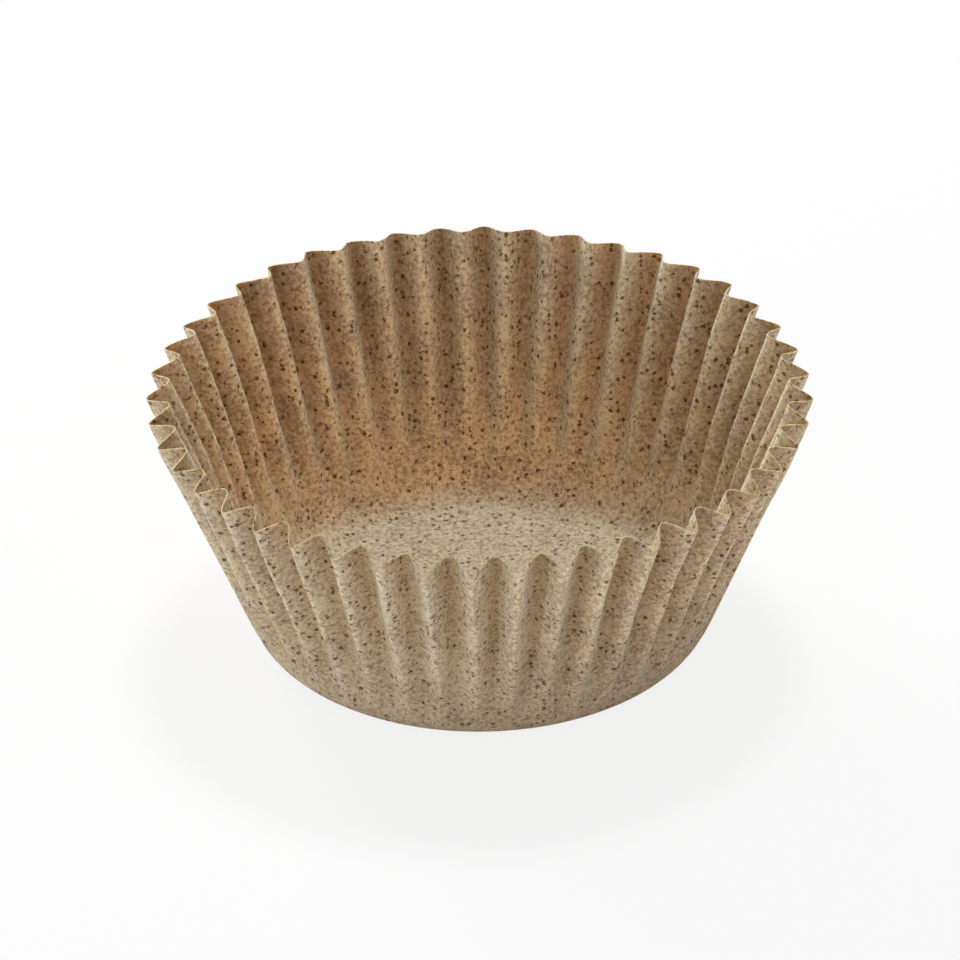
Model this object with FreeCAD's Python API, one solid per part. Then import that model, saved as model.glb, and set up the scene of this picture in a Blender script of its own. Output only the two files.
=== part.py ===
# Cupcake liner: one round sheet of thin baking paper, pressed into a pleated cup.
#
# The base is flat, the corner is a plain rounded band, and the wall is folded into pleats that
# grow from nothing at the top of the corner to their full depth at the rim. The wall is made of
# flat panels, as a folded sheet is: every panel keeps its direction all the way up, so that the
# ridges, flanks and valleys stay flat while their widths change.
#
# Frame: origin at the centre of the underside, +Z up to the open rim, +X through a pleat ridge.
# Lengths are in millimetres and angles in degrees.
import FreeCAD, Part
import math
import os
from FreeCAD import Vector

DRIVING_SIZES = [
    ("blank_diameter", 105.4, "the flat round sheet, before it is pressed"),
    ("paper_thickness", 0.12, "thickness of the paper"),
    ("base_diameter", 41.74, "flat part of the base"),
    ("corner_radius", 4.12, "outside radius between base and wall"),
    ("wall_lean", 22.5, "lean of the pleat ridges from upright"),
    ("pleat_count", 44, "pleats round the wall"),
    ("pleat_depth", 2.5, "level distance from ridge to valley near the rim"),
    ("flank_turn", 62.0, "turn of a pleat's flank away from the ridge"),
    ("ridge_fold_radius", 0.5, "radius that the narrow panels beside a ridge follow"),
    ("valley_fold_radius", 0.75, "radius that the narrow panels beside a valley follow"),
]

# How far up the wall a level lies, and how much of the full depth its pleats have there.
WALL_LEVELS = [(0.2, 0.4), (0.5, 0.75), (1.0, 1.0)]
CORNER_STEPS = 5
FOLD_PANELS = 2
# The wall is drawn this much past its real length, and each fold is then cut to length.
SPARE_WALL = 1.1


def make_document():
    """Make the document, with every driving size in a sheet under its own name."""
    document = FreeCAD.newDocument("cupcake_liner")
    sheet = document.addObject("Spreadsheet::Sheet", "Sizes")
    for row, (name, value, meaning) in enumerate(DRIVING_SIZES, start=1):
        sheet.set(f"A{row}", name)
        sheet.set(f"B{row}", str(value))
        sheet.set(f"C{row}", meaning)
        sheet.setAlias(f"B{row}", name)
    document.recompute()
    return document, sheet


def strip_direction(turn):
    """Level direction of a panel whose outward normal is turned by this angle from +X."""
    return Vector(-math.sin(turn), math.cos(turn), 0)


def meet(turn_a, reach_a, turn_b, reach_b):
    """Point where two level lines cross, each given by its normal's angle and its distance."""
    spread = math.sin(turn_b - turn_a)
    x = (reach_a * math.sin(turn_b) - reach_b * math.sin(turn_a)) / spread
    y = (reach_b * math.cos(turn_a) - reach_a * math.cos(turn_b)) / spread
    return Vector(x, y, 0)


class Pleat:
    """One half of a pleat seen from above: a ridge panel, narrow panels that round the fold, the
    flank, narrow panels again and a valley panel."""

    def __init__(self, sheet):
        self.half_pitch = math.pi / sheet.pleat_count
        flank = math.radians(sheet.flank_turn)
        ridge_step = flank / (FOLD_PANELS + 1)
        valley_step = (flank - self.half_pitch) / (FOLD_PANELS + 1)
        steps = range(1, FOLD_PANELS + 1)
        ridge_turns = [ridge_step * i for i in steps]
        valley_turns = [flank - valley_step * i for i in steps]
        self.turns = [0] + ridge_turns + [flank] + valley_turns + [self.half_pitch]
        ridge_width = 2 * sheet.ridge_fold_radius * math.tan(ridge_step / 2)
        valley_width = 2 * sheet.valley_fold_radius * math.tan(valley_step / 2)
        self.fold_widths = [ridge_width] * FOLD_PANELS, [valley_width] * FOLD_PANELS

    def plain(self, reach):
        """The fold points where the wall has no depth yet: all in one place."""
        corner = meet(0, reach, self.half_pitch, reach)
        return [corner] * (len(self.turns) - 1)

    def folded(self, ridge, valley, inset):
        """The fold points at a level, moved inwards by the inset for the inner face."""
        ways = [strip_direction(turn) for turn in self.turns]
        ridge_widths, valley_widths = self.fold_widths
        flank_at = FOLD_PANELS + 1
        span = valley * Vector(math.cos(self.half_pitch), math.sin(self.half_pitch), 0)
        span = span - Vector(ridge, 0, 0)
        for way, width in zip(ways[1:flank_at] + ways[flank_at + 1:-1], ridge_widths + valley_widths):
            span = span - width * way
        flank = ways[flank_at]
        flats = ways[0] + ways[-1]
        spread = flats.x * flank.y - flats.y * flank.x
        flat_width = (span.x * flank.y - span.y * flank.x) / spread
        flank_width = (flats.x * span.y - flats.y * span.x) / spread
        widths = [flat_width] + ridge_widths + [flank_width] + valley_widths
        point = Vector(ridge, 0, 0)
        reaches = [ridge]
        for way, width, turn in zip(ways, widths, self.turns[1:]):
            point = point + width * way
            reaches.append(point.x * math.cos(turn) + point.y * math.sin(turn))
        return [
            meet(a, reach_a - inset, b, reach_b - inset)
            for a, reach_a, b, reach_b in zip(self.turns, reaches, self.turns[1:], reaches[1:])
        ]

    def ring(self, points, height):
        """All fold points round the cup at one height, from one half pleat's."""
        mirror = 2 * self.half_pitch
        polar = [(math.hypot(p.x, p.y), math.atan2(p.y, p.x)) for p in points]
        pleat = polar + [(radius, mirror - angle) for radius, angle in reversed(polar)]
        pleats = round(math.pi / self.half_pitch)
        return [
            Vector(radius * math.cos(turn + angle), radius * math.sin(turn + angle), height)
            for turn in (k * mirror for k in range(pleats))
            for radius, angle in pleat
        ]


def corner_levels(sheet, pleat, inset):
    """Rings of the rounded corner, from the flat base up to the foot of the wall."""
    radius = sheet.corner_radius - inset
    sweep = math.radians(90 - sheet.wall_lean)
    levels = []
    for step in range(CORNER_STEPS + 1):
        angle = sweep * step / CORNER_STEPS
        reach = sheet.base_diameter / 2 + radius * math.sin(angle)
        height = sheet.corner_radius - radius * math.cos(angle)
        levels.append(pleat.ring(pleat.plain(reach), height))
    return levels


def wall_levels(sheet, pleat, inset):
    """Rings of the pleated wall above the corner."""
    lean = math.radians(sheet.wall_lean)
    foot_reach = sheet.base_diameter / 2 + sheet.corner_radius * math.cos(lean)
    foot_height = sheet.corner_radius * (1 - math.sin(lean))
    corner_arc = sheet.corner_radius * (math.pi / 2 - lean)
    slope_length = sheet.blank_diameter / 2 - sheet.base_diameter / 2 - corner_arc
    level_inset = inset / math.cos(lean)
    levels = []
    for share, depth_share in WALL_LEVELS:
        along = share * slope_length
        if share == 1:
            along = along + SPARE_WALL
        ridge = foot_reach + along * math.sin(lean)
        valley = ridge - depth_share * sheet.pleat_depth
        height = foot_height + along * math.cos(lean)
        levels.append(pleat.ring(pleat.folded(ridge, valley, level_inset), height))
    return levels


def trim_to_blank(levels, blank_radius):
    """Cut every fold where the flat sheet ended, so that all folds are equally long."""
    rim = []
    for column in zip(*levels):
        run = math.hypot(column[0].x, column[0].y)
        run = run + sum(a.distanceToPoint(b) for a, b in zip(column[:-1], column[1:-1]))
        way = (column[-1] - column[-2]).normalize()
        rim.append(column[-2] + (blank_radius - run) * way)
    return levels[:-1] + [rim]


def trim_square(levels, outer_rim):
    """Cut the inner face's folds square across the paper from the outer face's rim."""
    rim = []
    for column, corner in zip(zip(*levels), outer_rim):
        way = (column[-1] - column[-2]).normalize()
        rim.append(column[-2] + (corner - column[-2]).dot(way) * way)
    return levels[:-1] + [rim]


def panel(points):
    """A flat face through these points, or none where they fall together on a line."""
    corners = [p for p, q in zip(points, points[1:] + points[:1]) if p.distanceToPoint(q) > 1e-6]
    if len(corners) < 3:
        return None
    return Part.Face(Part.makePolygon(corners + corners[:1]))


def panels_between(low, high):
    """The panels between two rings, one to each pair of neighbouring fold points."""
    count = len(low)
    faces = []
    for i in range(count):
        j = (i + 1) % count
        faces.append(panel([low[i], low[j], high[j], high[i]]))
    return [face for face in faces if face is not None]


def rim_edge(outer, inner):
    """The cut edge of the paper, two flat triangles to each panel."""
    count = len(outer)
    faces = []
    for i in range(count):
        j = (i + 1) % count
        faces.append(panel([outer[i], outer[j], inner[j]]))
        faces.append(panel([outer[i], inner[j], inner[i]]))
    return faces


def pleated_cup(sheet):
    """The whole liner as one closed solid of flat panels."""
    pleat = Pleat(sheet)
    outer = corner_levels(sheet, pleat, 0) + wall_levels(sheet, pleat, 0)
    outer = trim_to_blank(outer, sheet.blank_diameter / 2)
    paper = sheet.paper_thickness
    inner = corner_levels(sheet, pleat, paper) + wall_levels(sheet, pleat, paper)
    inner = trim_square(inner, outer[-1])
    faces = [panel(outer[0]), panel(inner[0])]
    for side in (outer, inner):
        for low, high in zip(side, side[1:]):
            faces.extend(panels_between(low, high))
    faces.extend(rim_edge(outer[-1], inner[-1]))
    shell = Part.makeShell(faces)
    shell.sewShape()
    solid = Part.makeSolid(shell)
    if solid.Volume < 0:
        solid.reverse()
    return solid


def check_document(document):
    """Stop if any object of the document failed, or any shape is missing or not valid."""
    for item in document.Objects:
        bad = [state for state in item.State if state in ("Invalid", "Error")]
        if bad:
            raise RuntimeError(f"{item.Label} is in state {bad}")
        shape = getattr(item, "Shape", None)
        if shape is not None and (shape.isNull() or not shape.isValid()):
            raise RuntimeError(f"{item.Label} has no valid shape")


document, sizes = make_document()
liner = document.addObject("Part::Feature", "Liner")
liner.Label = "liner"
liner.Shape = pleated_cup(sizes)
liner.Placement = FreeCAD.Placement()
document.recompute()
check_document(document)

os.makedirs("parts", exist_ok=True)
liner.Shape.exportStep(f"parts/{liner.Label}.step")
print(f"{liner.Label}: {len(liner.Shape.Solids)} solid, {liner.Shape.Volume:.1f} cubic mm")
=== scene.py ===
# %% [markdown]
# A pleated paper baking cup
#
# The object is one round sheet of thin, speckled brown paper that was pressed into a cup with a
# flat base, a rounded corner and a wall of narrow pleats. This lesson first opens the measured
# model, which fixes every size, and then builds the paper around it with finer folds and a finish.

# %% Open the measured model
import math

import bpy
from mathutils import Matrix, Vector


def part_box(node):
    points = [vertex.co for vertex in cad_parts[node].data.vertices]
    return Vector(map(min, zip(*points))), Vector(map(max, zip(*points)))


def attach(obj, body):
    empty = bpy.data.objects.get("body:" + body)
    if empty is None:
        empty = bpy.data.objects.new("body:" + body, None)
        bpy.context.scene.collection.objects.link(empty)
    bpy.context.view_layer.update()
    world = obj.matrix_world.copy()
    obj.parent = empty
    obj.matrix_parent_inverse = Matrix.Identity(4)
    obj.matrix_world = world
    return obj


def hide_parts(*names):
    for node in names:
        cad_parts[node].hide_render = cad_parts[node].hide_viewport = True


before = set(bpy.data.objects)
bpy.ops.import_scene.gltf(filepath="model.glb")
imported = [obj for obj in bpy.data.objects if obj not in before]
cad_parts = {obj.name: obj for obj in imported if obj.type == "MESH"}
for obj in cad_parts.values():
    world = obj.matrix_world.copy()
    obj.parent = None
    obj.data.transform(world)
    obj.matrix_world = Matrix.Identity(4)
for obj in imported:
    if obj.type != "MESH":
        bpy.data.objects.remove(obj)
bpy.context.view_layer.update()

low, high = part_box("liner")
print("measured liner:", [round(1000 * v, 2) for v in high - low], "mm")

# %% [markdown]
# The sizes of the pressed sheet
#
# A pressed sheet can't stretch, so every fold has the same length from the centre of the base to
# the rim. The ridges lean outwards in a straight line. The valleys are drawn inwards, and because
# they are as long as the ridges, they end a little higher. All sizes are real lengths in metres,
# and they repeat those that the measured model was made from.

# %% Sizes of the cup
MM = 0.001
PLEATS = 44
BASE_RADIUS = 20.87 * MM
CORNER_RADIUS = 4.12 * MM
LEAN = math.radians(22.5)
BLANK_RADIUS = 52.7 * MM
PLEAT_DEPTH = 2.5 * MM
PAPER = 0.12 * MM
PITCH = 2 * math.pi / PLEATS

corner_turn = math.pi / 2 - LEAN
wall_length = BLANK_RADIUS - BASE_RADIUS - CORNER_RADIUS * corner_turn
print("straight length of the wall:", round(1000 * wall_length, 2), "mm")

# %% Faces across one pleat, up the corner and up the wall
COLUMNS = 12
CORNER_ROWS = 4
WALL_ROWS = 11
print("faces in the wall and corner:", PLEATS * COLUMNS * (CORNER_ROWS + WALL_ROWS))

# %% [markdown]
# How deep a pleat is at each height, and its shape from above
#
# The pleats grow from nothing at the top of the corner, quickly at first and then more slowly.
# Seen from above, a pleat is a zigzag with rounded folds: straight in its flank, and curved at
# the ridge and at the valley. Both shapes are short formulas, so they stay smooth.

# %% Depth and section of a pleat
DEPTH_GROWTH = 2.0
RIDGE_ROUNDING = 0.24
VALLEY_ROUNDING = 0.36


def depth_share(height_share):
    """How much of the full depth a pleat has at this share of the wall's length."""
    return 1 - (1 - height_share) ** DEPTH_GROWTH


def section_share(place):
    """How far in the paper lies, from 0 on the ridge to 1 in the valley."""
    slope = 1 / (1 - RIDGE_ROUNDING / 2 - VALLEY_ROUNDING / 2)
    if place < RIDGE_ROUNDING:
        return slope * place ** 2 / (2 * RIDGE_ROUNDING)
    if place > 1 - VALLEY_ROUNDING:
        return 1 - slope * (1 - place) ** 2 / (2 * VALLEY_ROUNDING)
    return slope * (place - RIDGE_ROUNDING / 2)


print("halfway across, the paper lies", round(section_share(0.5), 2), "of the depth in")


# %% The line of one fold up the wall
def fold_line(share):
    """Places up the wall, as distance from the axis and height, of a fold with this share of depth."""
    reach = BASE_RADIUS + CORNER_RADIUS * math.sin(corner_turn)
    height = CORNER_RADIUS * (1 - math.cos(corner_turn))
    step = wall_length / WALL_ROWS
    places = []
    for row in range(WALL_ROWS):
        gained = depth_share((row + 1) / WALL_ROWS) - depth_share(row / WALL_ROWS)
        outward = step * math.sin(LEAN) - share * PLEAT_DEPTH * gained
        reach += outward
        height += math.sqrt(step ** 2 - outward ** 2)
        places.append((reach, height))
    return places


ridge_end, valley_end = fold_line(0)[-1], fold_line(1)[-1]
print("ridge ends at", [round(1000 * v, 2) for v in ridge_end], "mm")
print("valley ends at", [round(1000 * v, 2) for v in valley_end], "mm")

# %% [markdown]
# The outline of one ridge, spun through one pleat
#
# The cup without its pleats is a turned shape. Its outline starts part of the way out on the flat
# base, turns up round the corner and goes up the wall. A single vertex extruded step by step
# draws that outline, and a spin round the upright axis turns it into a strip as wide as a pleat.
# The middle of the base stays open for now, because a point where hundreds of edges meet takes
# very long to subdivide.

# %% Helpers for picking objects and vertices
def deselect_all():
    """Let go of every object, so that the next operator acts only on what is picked."""
    bpy.ops.object.select_all(action="DESELECT")


def use_object(piece):
    """Make one object the picked and active one."""
    deselect_all()
    piece.select_set(True)
    bpy.context.view_layer.objects.active = piece


def pick_vertices(piece, wanted):
    """In edit mode, pick the vertices for which wanted(position) is true."""
    bpy.ops.object.mode_set(mode="OBJECT")
    mesh = piece.data
    for edge in mesh.edges:
        edge.select = False
    for face in mesh.polygons:
        face.select = False
    for vertex in mesh.vertices:
        vertex.select = wanted(vertex.co)
    bpy.ops.object.mode_set(mode="EDIT")


# %% Start with one vertex on the base
BASE_RINGS = (0.5, 0.96, 1.0)
outline = [(BASE_RADIUS * share, 0.0) for share in BASE_RINGS]
deselect_all()
bpy.ops.mesh.primitive_plane_add(size=MM, location=(outline[0][0], 0, 0))
liner = bpy.context.object
liner.name = "paper_liner"
liner.data.name = "paper_liner"
bpy.ops.object.mode_set(mode="EDIT")
bpy.ops.mesh.select_mode(type="VERT")
bpy.ops.mesh.select_all(action="SELECT")
bpy.ops.mesh.merge(type="CENTER")
bpy.ops.object.mode_set(mode="OBJECT")
bpy.ops.object.transform_apply(location=True)
print("vertices to start with:", len(liner.data.vertices))

# %% Draw the outline and spin it
STRIP_MERGE = 0.001 * MM
for row in range(1, CORNER_ROWS + 1):
    turn = corner_turn * row / CORNER_ROWS
    reach = BASE_RADIUS + CORNER_RADIUS * math.sin(turn)
    outline.append((reach, CORNER_RADIUS * (1 - math.cos(turn))))
outline += fold_line(0)

bpy.ops.object.mode_set(mode="EDIT")
bpy.ops.mesh.select_all(action="SELECT")
here = outline[0]
for reach, height in outline[1:]:
    move = (reach - here[0], 0, height - here[1])
    bpy.ops.mesh.extrude_region_move(TRANSFORM_OT_translate={"value": move})
    here = (reach, height)

bpy.ops.mesh.select_all(action="SELECT")
bpy.ops.mesh.spin(steps=COLUMNS, angle=PITCH, center=(0, 0, 0), axis=(0, 0, 1))
bpy.ops.mesh.select_all(action="SELECT")
bpy.ops.mesh.remove_doubles(threshold=STRIP_MERGE)
bpy.ops.object.mode_set(mode="OBJECT")
turns = [math.atan2(v.co.y, v.co.x) for v in liner.data.vertices]
print("strip from", round(math.degrees(min(turns)), 2), "to", round(math.degrees(max(turns)), 2))

# %% [markdown]
# Push the folds in
#
# On the strip every column still lies on the turned surface. Each wall vertex of a column is now
# moved straight to its place: inwards by its share of the depth, and a little up, so that its fold
# keeps its length. The first and last columns are ridges and stay where they are.

# %% Fold the strip
PICK_REACH = 0.02 * MM
plain = fold_line(0)
moved = 0
for column in range(1, COLUMNS):
    place = min(column, COLUMNS - column) / (COLUMNS / 2)
    folded = fold_line(section_share(place))
    angle = -column * PITCH / COLUMNS
    side = Vector((math.cos(angle), math.sin(angle), 0))
    for (reach, height), (new_reach, new_height) in zip(plain, folded):
        spot = side * reach + Vector((0, 0, height))
        pick_vertices(liner, lambda at: (at - spot).length < PICK_REACH)
        shift = side * (new_reach - reach) + Vector((0, 0, new_height - height))
        bpy.ops.transform.translate(value=shift)
        moved += 1
print("moved", moved, "vertices of one pleat")

# %% [markdown]
# All pleats, closed into a cup
#
# A spin that copies, and doesn't sweep, sets the folded strip round the axis once for each pleat.
# Neighbours share their ridge vertices, so merging what lies together closes the wall, and the
# normals are then made to point outwards.

# %% Copy the pleat round the axis
CUP_MERGE = 0.005 * MM
bpy.ops.mesh.select_all(action="SELECT")
bpy.ops.mesh.spin(
    steps=PLEATS - 1,
    dupli=True,
    angle=(PLEATS - 1) * PITCH,
    center=(0, 0, 0),
    axis=(0, 0, 1),
)
bpy.ops.mesh.select_all(action="SELECT")
bpy.ops.mesh.remove_doubles(threshold=CUP_MERGE)
bpy.ops.mesh.normals_make_consistent(inside=False)
bpy.ops.object.mode_set(mode="OBJECT")
top_face = max(liner.data.polygons, key=lambda face: face.center.z)
print("open cup:", len(liner.data.vertices), "vertices,", len(liner.data.polygons), "faces")
print("outward:", round(top_face.normal.xy.dot(top_face.center.xy.normalized()), 2))

# %% [markdown]
# Smooth folds and a closed base
#
# A Subdivision Surface rounds the folds. After it, the hole in the middle of the base is filled
# with one face, and an inset sets a narrow ring inside its edge. The base is flat there, so the
# large face doesn't show.

# %% Round the folds and close the base
HOLE_EDGE = 0.01 * MM
INSET_SHARE = 0.4


def apply_modifier(piece, name, kind, settings):
    """Add a modifier with these settings and apply it."""
    use_object(piece)
    modifier = piece.modifiers.new(name, kind)
    for key, value in settings.items():
        setattr(modifier, key, value)
    bpy.ops.object.modifier_apply(modifier=name)


apply_modifier(liner, "rounded_folds", "SUBSURF", {"levels": 1, "render_levels": 1})

hole = min(v.co.xy.length for v in liner.data.vertices) + HOLE_EDGE
pick_vertices(liner, lambda at: at.xy.length < hole)
bpy.ops.mesh.edge_face_add()
bpy.ops.mesh.inset(thickness=INSET_SHARE * hole)
bpy.ops.mesh.select_all(action="SELECT")
bpy.ops.mesh.normals_make_consistent(inside=False)
bpy.ops.object.mode_set(mode="OBJECT")
edge_uses = {}
for face in liner.data.polygons:
    for key in face.edge_keys:
        edge_uses[key] = edge_uses.get(key, 0) + 1
open_edges = [key for key, uses in edge_uses.items() if uses == 1]
lowest_open = min(liner.data.vertices[i].co.z for key in open_edges for i in key)
print("open edges:", len(open_edges), "and all of them above", round(1000 * lowest_open, 2), "mm")

# %% [markdown]
# A hand-made look
#
# Real pleats are pressed in a stack and then handled, so no two are quite alike. Two Displace
# modifiers with soft cloud noise shift the wall by tenths of a millimetre: a coarse one for the
# handling and a finer one for the press. A vertex group leaves the base flat and lets the wall
# move more the higher it is.

# %% Loosen the wall
FLAT_HEIGHT = 2.0 * MM
LOOSENESS = 1.4
WEIGHT_STEPS = 100
UNEVENNESS = (("handled", 16 * MM, 0.7 * MM), ("pressed", 3.5 * MM, 0.22 * MM))


def cloud_texture(name, size):
    """Soft coloured noise, which moves points along all three axes."""
    texture = bpy.data.textures.new(name, "CLOUDS")
    texture.cloud_type = "COLOR"
    texture.noise_scale = size
    texture.noise_depth = 1
    return texture


loose = liner.vertex_groups.new(name="loose")
by_weight = {}
for vertex in liner.data.vertices:
    weight = min(1, max(0, vertex.co.z - FLAT_HEIGHT) / high.z * LOOSENESS)
    by_weight.setdefault(round(weight * WEIGHT_STEPS), []).append(vertex.index)
for step, indices in by_weight.items():
    loose.add(indices, step / WEIGHT_STEPS, "REPLACE")

for name, size, strength in UNEVENNESS:
    settings = {
        "texture": cloud_texture(name, size),
        "texture_coords": "LOCAL",
        "direction": "RGB_TO_XYZ",
        "mid_level": 0.5,
        "strength": strength,
        "vertex_group": "loose",
    }
    apply_modifier(liner, name, "DISPLACE", settings)
print("top of the loosened wall:", round(1000 * max(v.co.z for v in liner.data.vertices), 2), "mm")

# %% [markdown]
# The thickness of paper
#
# Solidify gives the sheet its thickness inwards, so that the outside keeps its size, and makes the
# cut edge at the rim.

# %% Give the sheet its thickness
settings = {"thickness": PAPER, "offset": -1, "use_even_offset": True, "use_rim": True}
apply_modifier(liner, "paper", "SOLIDIFY", settings)
liner.vertex_groups.clear()
corners = [v.co for v in liner.data.vertices]
size = [max(c[i] for c in corners) - min(c[i] for c in corners) for i in range(3)]
print("finished sheet:", [round(1000 * length, 2) for length in size], "mm")
print("triangles:", sum(len(face.vertices) - 2 for face in liner.data.polygons))

# %% [markdown]
# Painted shade on the folds
#
# The grooves between the folds get painted shade, and the folds that stand out are painted paler.
# The material can't know which fold stands out, so each vertex keeps a number: 1 where it stands
# out and 0 in a groove. A ridge stands out on the outside and is a groove on the inside. The flat
# base has a plain value between the two, and the numbers spread from it as the pleats get deeper.

# %% Write the painted shading of the folds
PLAIN_PAINTED_SHADING = 0.6
INSIDE_CREST_SHARPNESS = 1.5
FOLD_ANGLE = math.radians(50)
# Painted light and shade: each vertex keeps 1 where its fold stands out and 0 in a groove
painted_fold_shading = liner.data.attributes.new("painted_fold_shading", "FLOAT", "POINT")
shares = []
for vertex in liner.data.vertices:
    turn = math.atan2(vertex.co.y, vertex.co.x) / PITCH % 1
    inward = section_share(1 - abs(2 * turn - 1))
    outside = vertex.normal.xy.dot(vertex.co.xy) > 0
    depth = depth_share(min(1, max(0, vertex.co.z - CORNER_RADIUS) / (high.z - CORNER_RADIUS)))
    painted_brightness = 1 - inward if outside else inward ** INSIDE_CREST_SHARPNESS
    shares.append(PLAIN_PAINTED_SHADING + (painted_brightness - PLAIN_PAINTED_SHADING) * depth)
painted_fold_shading.data.foreach_set("value", shares)
bpy.ops.object.shade_smooth_by_angle(angle=FOLD_ANGLE)
print("crest numbers from", round(min(shares), 2), "to", round(max(shares), 2))

# %% [markdown]
# The paper itself
#
# Unbleached baking paper is a felt of short fibres with bran-like specks in it. Everything here
# reads Object coordinates, so the specks sit still when the camera moves. The layers, from coarse
# to fine, are: a soft cloudy shade, the mottle of the fibres, many small flecks from light to
# brown, and fewer large dark ones. Painted shade then darkens the grooves between the folds.

# %% Material helpers
def new_material(name):
    """A material with its nodes cleared, its nodes and its links."""
    material = bpy.data.materials.new(name)
    material.use_nodes = True
    material.node_tree.nodes.clear()
    return material, material.node_tree.nodes, material.node_tree.links


def srgb(red, green, blue):
    """A colour given as 0 to 255 screen values, as the linear numbers that shaders use."""
    return tuple(((value / 255 + 0.055) / 1.055) ** 2.4 for value in (red, green, blue)) + (1,)


def math_node(nodes, links, operation, first, second):
    """A Math node of two inputs, each a socket or a number, and its result."""
    node = nodes.new("ShaderNodeMath")
    node.operation = operation
    for socket, value in zip(node.inputs, (first, second)):
        if isinstance(value, (int, float)):
            socket.default_value = value
        else:
            links.new(value, socket)
    return node.outputs[0]


def smooth_range(nodes, links, value, start, end, low_value=0.0, high_value=1.0):
    """Value taken smoothly from one range to another."""
    node = nodes.new("ShaderNodeMapRange")
    node.interpolation_type = "SMOOTHSTEP"
    node.inputs["From Min"].default_value = start
    node.inputs["From Max"].default_value = end
    node.inputs["To Min"].default_value = low_value
    node.inputs["To Max"].default_value = high_value
    links.new(value, node.inputs["Value"])
    return node.outputs["Result"]


def noise(nodes, links, coordinates, size, detail, roughness=0.5):
    """Noise whose features are about this size."""
    node = nodes.new("ShaderNodeTexNoise")
    node.inputs["Scale"].default_value = 1 / size
    node.inputs["Detail"].default_value = detail
    node.inputs["Roughness"].default_value = roughness
    links.new(coordinates, node.inputs["Vector"])
    return node


def mix_colour(nodes, links, amount, first, second, blend="MIX"):
    """Two colours mixed by an amount; each is a socket or a plain value."""
    node = nodes.new("ShaderNodeMix")
    node.data_type = "RGBA"
    node.blend_type = blend
    for socket, value in zip((node.inputs[0], node.inputs[6], node.inputs[7]), (amount, first, second)):
        if isinstance(value, (int, float, tuple)):
            socket.default_value = value
        else:
            links.new(value, socket)
    return node.outputs[2]


print("screen white in linear numbers:", [round(v, 2) for v in srgb(255, 255, 255)])

# %% [markdown]
# Cloudy and mottled colour
#
# Noise of two sizes is added up: large soft clouds, where the sheet is a little thicker, and a
# fine mottle from the fibres. Their sum picks a colour between pale paper and a browner shade.

# %% The colour of the sheet without its flecks
PAPER_COLOUR = srgb(237, 227, 206)
PAPER_SHADE = srgb(191, 174, 147)
CLOUD_SIZE = 5 * MM
CLOUD_SHARE = 0.3
MOTTLE_SIZE = 0.45 * MM
MOTTLE_ROUGHNESS = 0.7
SHADE_START, SHADE_END = 0.5, 0.85


def mottled_colour(nodes, links, place):
    """Pale paper with clouds and mottle of a browner shade."""
    cloud = noise(nodes, links, place, CLOUD_SIZE, 2).outputs["Fac"]
    mottle = noise(nodes, links, place, MOTTLE_SIZE, 2, MOTTLE_ROUGHNESS).outputs["Fac"]
    shade = math_node(nodes, links, "MULTIPLY", cloud, CLOUD_SHARE)
    shade = math_node(nodes, links, "ADD", shade, mottle)
    shade = smooth_range(nodes, links, shade, SHADE_START, SHADE_END)
    return mix_colour(nodes, links, shade, PAPER_COLOUR, PAPER_SHADE)


print("clouds of", 1000 * CLOUD_SIZE, "mm and mottle of", 1000 * MOTTLE_SIZE, "mm")

# %% [markdown]
# Flecks of fibre and bran
#
# A Voronoi texture divides the paper into cells with one centre each, and a fleck is what lies
# near a centre. The random colour of a cell decides how large its fleck is and which shade it
# has. Round dots would look printed, so the coordinates are first shaken by fine noise, which
# makes the flecks ragged.

# %% Flecks
FLECK_EDGE = 0.35
RAGGED_SIZE = 0.22 * MM
RAGGED_REACH = 0.42 * MM
SMALL_SHADES = (srgb(250, 236, 212), srgb(122, 86, 44))
LARGE_SHADES = (srgb(118, 82, 40), srgb(84, 50, 20))
# Each layer has its spacing, its largest radius, the share of cells with a fleck, and a strength
FLECK_LAYERS = (
    (0.42 * MM, 0.27 * MM, 1.0, 0.68, SMALL_SHADES),
    (0.66 * MM, 0.29 * MM, 0.85, 0.85, LARGE_SHADES),
)


def ragged_place(nodes, links, place):
    """Coordinates shaken by fine noise."""
    wobble = noise(nodes, links, place, RAGGED_SIZE, 0)
    ragged = nodes.new("ShaderNodeVectorMath")
    ragged.operation = "MULTIPLY_ADD"
    ragged.inputs[1].default_value = (RAGGED_REACH,) * 3
    links.new(wobble.outputs["Color"], ragged.inputs[0])
    links.new(place, ragged.inputs[2])
    return ragged.outputs[0]


def add_flecks(nodes, links, colour, coordinates, spacing, radius, kept, strength, shades):
    """Colour with flecks laid over it, at most one to a cell, each in a shade of its own."""
    cells = nodes.new("ShaderNodeTexVoronoi")
    cells.inputs["Scale"].default_value = 1 / spacing
    links.new(coordinates, cells.inputs["Vector"])
    chance = nodes.new("ShaderNodeSeparateColor")
    links.new(cells.outputs["Color"], chance.inputs["Color"])
    size = smooth_range(nodes, links, chance.outputs["Red"], 1 - kept, 1, 0, radius / spacing)
    inside = math_node(nodes, links, "SUBTRACT", size, cells.outputs["Distance"])
    amount = smooth_range(nodes, links, inside, 0, FLECK_EDGE * radius / spacing, 0, strength)
    shade = mix_colour(nodes, links, chance.outputs["Green"], *shades)
    return mix_colour(nodes, links, amount, colour, shade)


print("largest flecks:", [round(2000 * layer[1], 2) for layer in FLECK_LAYERS], "mm across")
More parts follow.
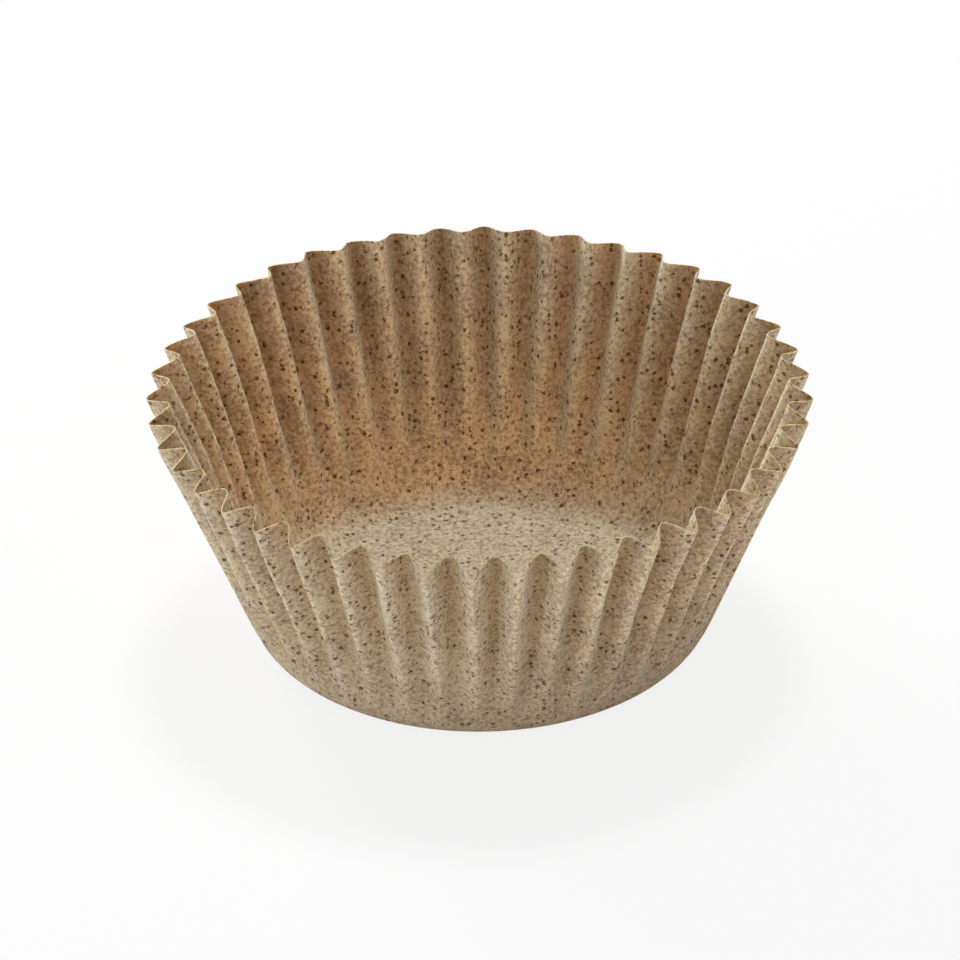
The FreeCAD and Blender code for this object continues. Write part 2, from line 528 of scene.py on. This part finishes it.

# %% [markdown]
# A sheet that lets light through
#
# Baking paper is matte, and so thin that the light behind it shows through warm and brown. The
# sheet has real thickness, so Subsurface scattering does this by itself: light goes in on one
# side and comes out on the other. Red light goes furthest through brown fibres and blue light
# hardly at all, and that gives the warm tone inside. The fibres also stand up a little, which is
# the fine relief.

# %% The speckled paper
# Painted shade: this tint darkens the grooves between the folds
PAINTED_GROOVE_SHADE = srgb(217, 205, 182)
LIGHT_REACH = (0.235 * MM, 0.185 * MM, 0.018 * MM)
MATTE_ROUGHNESS = 0.92
FAINT_SHINE = 0.2
GRAIN_SIZE = 0.3 * MM
GRAIN_HEIGHT = 0.06 * MM
GRAIN_STRENGTH = 0.5


def fine_relief(nodes, links, place):
    """The slight roughness of fibres, as a normal."""
    bump = nodes.new("ShaderNodeBump")
    bump.inputs["Strength"].default_value = GRAIN_STRENGTH
    bump.inputs["Distance"].default_value = GRAIN_HEIGHT
    grain = noise(nodes, links, place, GRAIN_SIZE, 1).outputs["Fac"]
    links.new(grain, bump.inputs["Height"])
    return bump.outputs["Normal"]


def speckled_paper():
    """Matte brown paper with bran flecks and painted groove shade, thin enough to let some light
    through.
    """
    material, nodes, links = new_material("speckled_paper")
    place = nodes.new("ShaderNodeTexCoord").outputs["Object"]
    colour = mottled_colour(nodes, links, place)
    shaken = ragged_place(nodes, links, place)
    for layer in FLECK_LAYERS:
        colour = add_flecks(nodes, links, colour, shaken, *layer)

    # Painted shade: the grooves are darkened by the tint, and the folds that stand out stay paler
    painted_fold_shading = nodes.new("ShaderNodeAttribute")
    painted_fold_shading.attribute_name = "painted_fold_shading"
    painted_shade_amount = math_node(nodes, links, "SUBTRACT", 1.0, painted_fold_shading.outputs["Fac"])
    colour = mix_colour(nodes, links, painted_shade_amount, colour, PAINTED_GROOVE_SHADE, blend="MULTIPLY")

    sheet = nodes.new("ShaderNodeBsdfPrincipled")
    sheet.inputs["Roughness"].default_value = MATTE_ROUGHNESS
    sheet.inputs["Specular IOR Level"].default_value = FAINT_SHINE
    sheet.inputs["Subsurface Weight"].default_value = 1.0
    sheet.inputs["Subsurface Scale"].default_value = 1.0
    sheet.inputs["Subsurface Radius"].default_value = LIGHT_REACH
    links.new(colour, sheet.inputs["Base Color"])
    links.new(fine_relief(nodes, links, place), sheet.inputs["Normal"])

    output = nodes.new("ShaderNodeOutputMaterial")
    links.new(sheet.outputs[0], output.inputs["Surface"])
    return material


paper = speckled_paper()
liner.data.materials.clear()
liner.data.materials.append(paper)
print("material nodes:", len(paper.node_tree.nodes))

# %% [markdown]
# Put the paper in place of the measured model
#
# The finished sheet stands for the measured liner, which stays hidden for collision. It rides on
# the only body, called root, and takes its finish from the material slot called paper.

# %% Replace the measured liner
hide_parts("liner")
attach(liner, "root")
print(liner.name, "stands for liner")

# %% [markdown]
# Floor, background and light
#
# The cup stands on a pale floor. The camera sees that floor nearly white, and it keeps a soft
# shadow. The light is an even white sky all round with three soft lamps: a small one high and a
# little behind, which lights the base, a large low one behind, whose light comes through the far
# wall, and a weak one from the left in front.

# %% Floor
FLOOR_SIZE = 4.0
FLOOR_DROP = 0.02 * MM
FLOOR_COLOUR = (0.9, 0.9, 0.9, 1)
FLOOR_WHITENESS = 0.85


def seen_directly(nodes, links):
    """1 for what the camera sees, also in gloss or through glass, and 0 for light on its way."""
    path = nodes.new("ShaderNodeLightPath")
    seen = math_node(nodes, links, "ADD", path.outputs["Is Camera Ray"], path.outputs["Is Glossy Ray"])
    return math_node(nodes, links, "ADD", seen, path.outputs["Is Transmission Ray"])


def pale_floor():
    """A wide floor that the camera sees nearly white, with the cup's soft shadow."""
    deselect_all()
    bpy.ops.mesh.primitive_plane_add(size=FLOOR_SIZE, location=(0, 0, -FLOOR_DROP))
    floor = bpy.context.object
    floor.name = "floor"
    material, nodes, links = new_material("white_floor")
    matte = nodes.new("ShaderNodeBsdfDiffuse")
    matte.inputs["Color"].default_value = FLOOR_COLOUR
    white = nodes.new("ShaderNodeEmission")
    white.inputs["Strength"].default_value = 1.0
    mixed = nodes.new("ShaderNodeMixShader")
    share = math_node(nodes, links, "MULTIPLY", seen_directly(nodes, links), FLOOR_WHITENESS)
    links.new(share, mixed.inputs["Fac"])
    links.new(matte.outputs[0], mixed.inputs[1])
    links.new(white.outputs[0], mixed.inputs[2])
    output = nodes.new("ShaderNodeOutputMaterial")
    links.new(mixed.outputs[0], output.inputs["Surface"])
    floor.data.materials.append(material)
    return floor


floor = pale_floor()
print("floor is", FLOOR_SIZE, "m wide")

# %% Sky
SKY_STRENGTH = 0.32
WHITE = (1, 1, 1, 1)


def studio_sky():
    """An even white sky, which the camera and mirrors see as plain white."""
    world = bpy.data.worlds.new("studio_sky")
    bpy.context.scene.world = world
    world.use_nodes = True
    nodes, links = world.node_tree.nodes, world.node_tree.links
    nodes.clear()
    lit = nodes.new("ShaderNodeBackground")
    lit.inputs["Color"].default_value = WHITE
    lit.inputs["Strength"].default_value = SKY_STRENGTH
    white = nodes.new("ShaderNodeBackground")
    white.inputs["Color"].default_value = WHITE
    white.inputs["Strength"].default_value = 1.0
    mixed = nodes.new("ShaderNodeMixShader")
    links.new(seen_directly(nodes, links), mixed.inputs["Fac"])
    links.new(lit.outputs[0], mixed.inputs[1])
    links.new(white.outputs[0], mixed.inputs[2])
    output = nodes.new("ShaderNodeOutputWorld")
    links.new(mixed.outputs[0], output.inputs["Surface"])


studio_sky()
print("sky strength", SKY_STRENGTH)

# %% Lamps
LAMP_TARGET = Vector((0, 0, 14 * MM))
# Each lamp has its name, its place, its width in metres and its power in watts
LAMPS = (
    ("top_lamp", (0.05, 0.345, 0.93), 0.20, 4.4),
    ("back_lamp", (-0.55, 0.80, 0.28), 0.50, 8.4),
    ("side_lamp", (-0.72, -0.69, 0.11), 0.20, 1.3),
)


def soft_lamp(name, place, width, power):
    """A square area lamp that faces the cup."""
    data = bpy.data.lights.new(name, "AREA")
    data.size = width
    data.energy = power
    lamp = bpy.data.objects.new(name, data)
    bpy.context.scene.collection.objects.link(lamp)
    lamp.location = place
    lamp.rotation_euler = (LAMP_TARGET - Vector(place)).to_track_quat("-Z", "Y").to_euler()
    return lamp


for settings in LAMPS:
    lamp = soft_lamp(*settings)
    print(lamp.name, lamp.data.energy, "W")

# %% [markdown]
# The camera
#
# The photograph looks down at the cup by about 32 degrees with a long lens, almost without
# perspective, and is turned by a fraction of a pleat. The frame is 100 mm wide at the cup.

# %% Camera
CAMERA_HEIGHT_ANGLE = math.radians(32.1)
CAMERA_TURN = math.radians(1.39)
CAMERA_ROLL = math.radians(-0.68)
CAMERA_DISTANCE = 1.3455
LENS = 478.3
SENSOR_WIDTH = 36.0
NEAREST, FURTHEST = 0.05, 20.0
TARGET = Vector((0, 0, 17.33 * MM))


def add_camera():
    """A camera at the photograph's angle, looking at the middle of the cup."""
    data = bpy.data.cameras.new("camera")
    data.lens = LENS
    data.sensor_width = SENSOR_WIDTH
    data.clip_start = NEAREST
    data.clip_end = FURTHEST
    camera = bpy.data.objects.new("camera", data)
    bpy.context.scene.collection.objects.link(camera)
    level = math.cos(CAMERA_HEIGHT_ANGLE)
    back = Vector((
        level * math.sin(CAMERA_TURN),
        -level * math.cos(CAMERA_TURN),
        math.sin(CAMERA_HEIGHT_ANGLE),
    ))
    camera.location = TARGET + CAMERA_DISTANCE * back
    facing = (-back).to_track_quat("-Z", "Y").to_matrix()
    roll = Matrix.Rotation(CAMERA_ROLL, 3, "Z")
    camera.rotation_euler = (facing @ roll).to_euler()
    bpy.context.scene.camera = camera
    return camera


camera = add_camera()
bpy.context.scene.view_settings.view_transform = "Standard"
print("camera", round(camera.location.length, 3), "m from the base")

# %% [markdown]
# The end of the scene

# %% End of the scene
print("scene finished")
